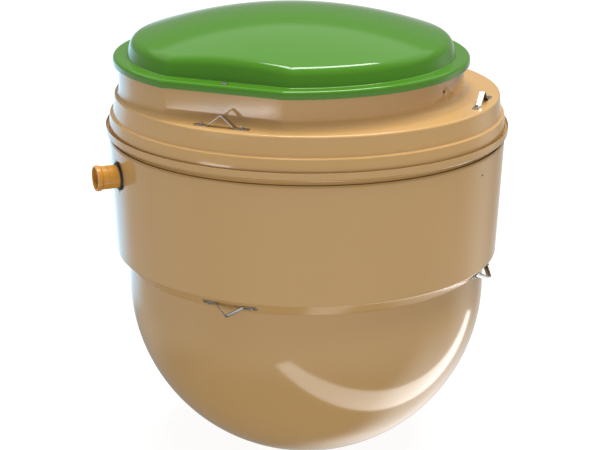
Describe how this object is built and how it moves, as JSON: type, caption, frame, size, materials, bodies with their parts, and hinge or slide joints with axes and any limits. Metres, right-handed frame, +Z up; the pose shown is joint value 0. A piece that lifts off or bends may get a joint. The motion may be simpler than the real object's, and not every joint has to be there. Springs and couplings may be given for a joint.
{
  "type": "household sewage treatment plant",
  "caption": "Round-bottomed tank with a stepped cover, an off-centre access neck and domed lid with one flat side, pipe stubs, and lifting and anchor lugs.",
  "frame": {"origin": "on the tank's axis, in the middle of the flat foot it stands on", "axes": "+Z up along the tank's axis, -Y towards the side seen in front, +X to the right of it"},
  "size_m": [2.0015, 1.94, 2.171],
  "materials": {
    "shell": "beige glass-fibre laminate, satin gloss",
    "lid": "green glass-fibre laminate, glossy",
    "pipe": "ochre drain pipe, satin",
    "rubber": "black sealing rubber",
    "steel": "bent stainless flat bar",
    "fastener": "stainless bolts and plug",
    "brown_plug": "brown moulded plug"
  },
  "bodies": {
    "root": {"tank_bowl": "shell", "tank_drum": "shell", "tank_flange": "shell", "cover_wall": "shell", "cover_deck": "shell", "access_neck": "shell", "lid": "lid", "lid_lock": "steel", "inlet_pipe": "pipe", "outlet_pipe": "pipe", "inlet_gasket": "rubber", "outlet_gasket": "rubber", "lifting_lug_1": "steel", "lifting_lug_1_bolt_1": "fastener", "lifting_lug_1_bolt_2": "fastener", "lifting_lug_2": "steel", "lifting_lug_2_bolt_1": "fastener", "lifting_lug_2_bolt_2": "fastener", "lifting_lug_3": "steel", "lifting_lug_3_bolt_1": "fastener", "lifting_lug_3_bolt_2": "fastener", "anchor_lug_1": "steel", "anchor_lug_1_bolt_1": "fastener", "anchor_lug_1_bolt_2": "fastener", "anchor_lug_2": "steel", "anchor_lug_2_bolt_1": "fastener", "anchor_lug_2_bolt_2": "fastener", "anchor_lug_3": "steel", "anchor_lug_3_bolt_1": "fastener", "anchor_lug_3_bolt_2": "fastener", "anchor_lug_4": "steel", "anchor_lug_4_bolt_1": "fastener", "anchor_lug_4_bolt_2": "fastener", "drum_plug": "fastener", "neck_plug": "brown_plug"}
  },
  "joints": []
}
